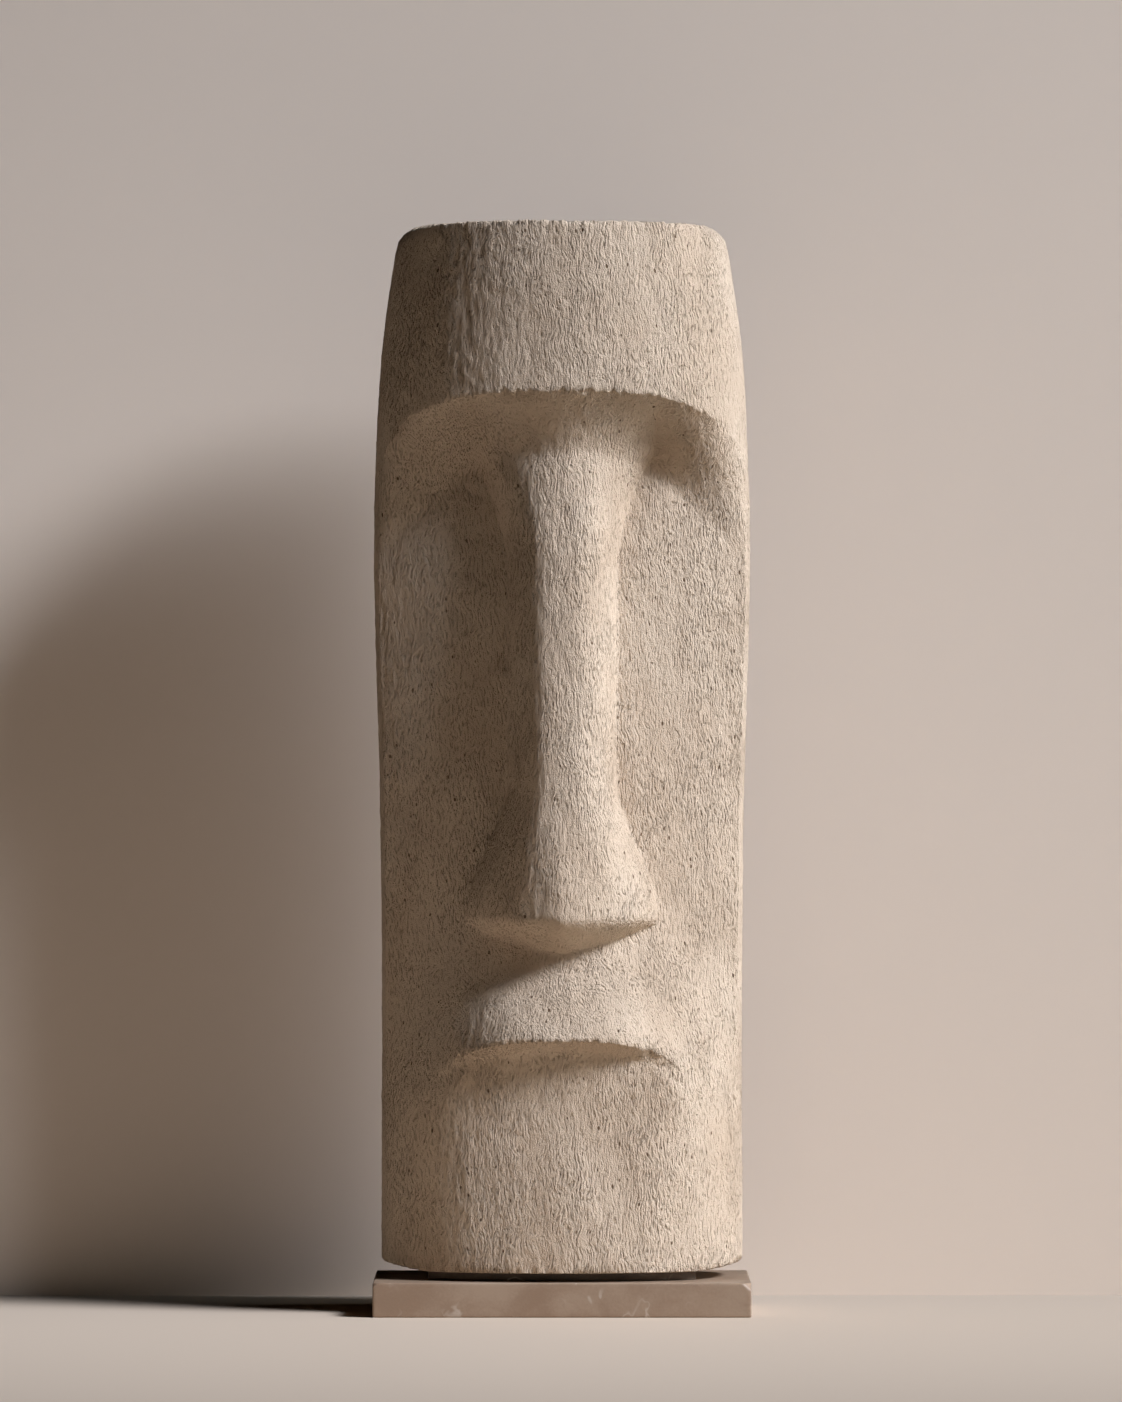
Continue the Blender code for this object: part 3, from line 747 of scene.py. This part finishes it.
def make_figure():
    """The carved figure, in the place of its solid."""
    low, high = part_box("figure")
    rings = skin_rings()
    foot_caps = cap_rings(rings[0], foot_line)[::-1]
    crown_caps = cap_rings(rings[-1], crown_line)
    rings = np.concatenate([foot_caps, rings, crown_caps])
    across = np.clip(rings[..., 0] / half_width(rings[..., 2] / FIGURE_HEIGHT), -1.0, 1.0)
    marks = tool_marks(rings) + edge_wear(rings, across)
    marks = marks * smooth_step(0.0, FOOT_ROUND_FRONT, rings[..., 2])
    rings = rings + ring_normals(rings) * marks[..., None]
    back = BACK_BOW * max(share for _, share in BACK_PROFILE)
    shift = np.array([0.0, high[1] - back, low[2]])
    foot_middle, crown_middle = (0.0, 0.0, 0.0), (0.0, 0.0, FIGURE_HEIGHT)
    mesh = ring_mesh("carved_figure", rings + shift, foot_middle + shift, crown_middle + shift)
    figure = add_piece("carved_figure", mesh, limestone())
    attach(figure, "root")
    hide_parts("figure")


def make_plinth():
    """The honed slab, in the place of its solid, and a darker finish for the riser, whose near-black tone
    is painted shade.
    """
    (left, front, floor), (right, back, top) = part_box("plinth")
    rings = slab_rings((right - left) / 2, front, back, top - floor)
    edge = np.minimum(rings[..., 2], top - rings[..., 2])
    rings = knock_corner(rings, (right, front, top), *WORN_CORNER)
    rings = knock_corner(rings, (left, front, top), *CHIPPED_CORNER)
    wear = np.maximum(noise_at(rings, PLINTH_WEAR_SIZE, RIM_START), 0.0) * PLINTH_WEAR_DEPTH
    near_rim = np.minimum(np.minimum(right - rings[..., 0], rings[..., 0] - left), rings[..., 1] - front)
    wear = wear * np.exp(-((edge + near_rim) / PLINTH_ARRIS)) * (rings[..., 2] > top / 2)
    rings = rings - ring_normals(rings) * wear[..., None]
    middle = (front + back) / 2
    mesh = ring_mesh("honed_plinth", rings, (0.0, middle, floor), (0.0, middle, top))
    plinth = add_piece("honed_plinth", mesh, marble("honed marble", *PLINTH_TONES))
    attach(plinth, "root")
    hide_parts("plinth")
    riser = bpy.data.objects["riser"]
    # The riser's near-black marble is painted shade under the figure's overhang.
    riser.material_slots[0].material = marble("riser marble in painted shade", *RISER_SHADE_TONES)


def make_camera():
    """The camera, level with the face and straight in front of it."""
    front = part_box("plinth")[0][1]
    camera = bpy.data.objects.new("camera", bpy.data.cameras.new("camera"))
    camera.data.sensor_fit = "VERTICAL"
    camera.data.sensor_height = FILM_HEIGHT
    camera.data.lens = FILM_HEIGHT * EYE_DISTANCE / (IMAGE_HEIGHT * PIXEL)
    camera.location = (CENTRE_COLUMN_OFFSET, front - EYE_DISTANCE, EYE_HEIGHT)
    camera.rotation_euler = (math.pi / 2, 0.0, 0.0)
    bpy.context.scene.collection.objects.link(camera)
    bpy.context.scene.camera = camera


def add_lamp(name, azimuth, elevation, distance, size, spread, power, colour):
    """A round soft lamp, at an azimuth from the front round to the right, aimed at the figure's middle."""
    turn, lift = math.radians(azimuth), math.radians(elevation)
    lamp = bpy.data.objects.new(name, bpy.data.lights.new(name, "AREA"))
    lamp.data.shape = "DISK"
    lamp.data.size = size
    lamp.data.spread = math.radians(spread)
    lamp.data.energy = power
    lamp.data.color = colour
    level = distance * math.cos(lift)
    middle = FIGURE_HEIGHT / 2
    lamp.location = (level * math.sin(turn), -level * math.cos(turn), middle + distance * math.sin(lift))
    lamp.rotation_euler = (math.pi / 2 - lift, 0.0, turn)
    bpy.context.scene.collection.objects.link(lamp)


def add_sheet(name, corners, material):
    """A flat four-cornered piece."""
    mesh = bpy.data.meshes.new(name)
    mesh.from_pydata(corners, [], [(0, 1, 2, 3)])
    return add_piece(name, mesh, material)


def make_floor():
    """A plain pale floor."""
    finish = Finish("pale floor", 0.8)
    finish.feed(finish.shader.inputs["Base Color"], FLOOR_TONE)
    reach = STAGE_REACH
    corners = [(-reach, -reach, 0), (reach, -reach, 0), (reach, reach, 0), (-reach, reach, 0)]
    add_sheet("floor", corners, finish.material)


def make_wall():
    """A plain wall behind the object that only the camera sees, and only from its front."""
    wall = Finish("pale wall", 0.9)
    wall.feed(wall.shader.inputs["Base Color"], WALL_TONE)
    shader = Value(wall, wall.shader.outputs[0])
    clear = wall.node("ShaderNodeBsdfTransparent")
    back = wall.node("ShaderNodeNewGeometry", output="Backfacing")
    seen = wall.node("ShaderNodeMixShader", {}, {0: back, 1: shader, 2: clear})
    wall.feed(wall.tree.nodes["Material Output"].inputs["Surface"], seen)
    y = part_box("plinth")[0][1] + WALL_DISTANCE
    reach = STAGE_REACH
    corners = [(-reach, y, 0), (reach, y, 0), (reach, y, reach), (-reach, y, reach)]
    sheet = add_sheet("wall", corners, wall.material)
    sheet.visible_diffuse = False
    sheet.visible_glossy = False
    sheet.visible_shadow = False


def make_light():
    """A window lamp high on the right, a weak one beside the object, and a dark room round them."""
    add_lamp("window", *WINDOW_LAMP)
    add_lamp("side_light", *SIDE_LAMP)
    world = bpy.data.worlds.new("room")
    world.use_nodes = True
    world.node_tree.nodes["Background"].inputs["Strength"].default_value = 0.0
    bpy.context.scene.world = world


bpy.context.scene.view_settings.view_transform = "Standard"
make_camera()
make_floor()
make_wall()
make_light()
make_figure()
make_plinth()
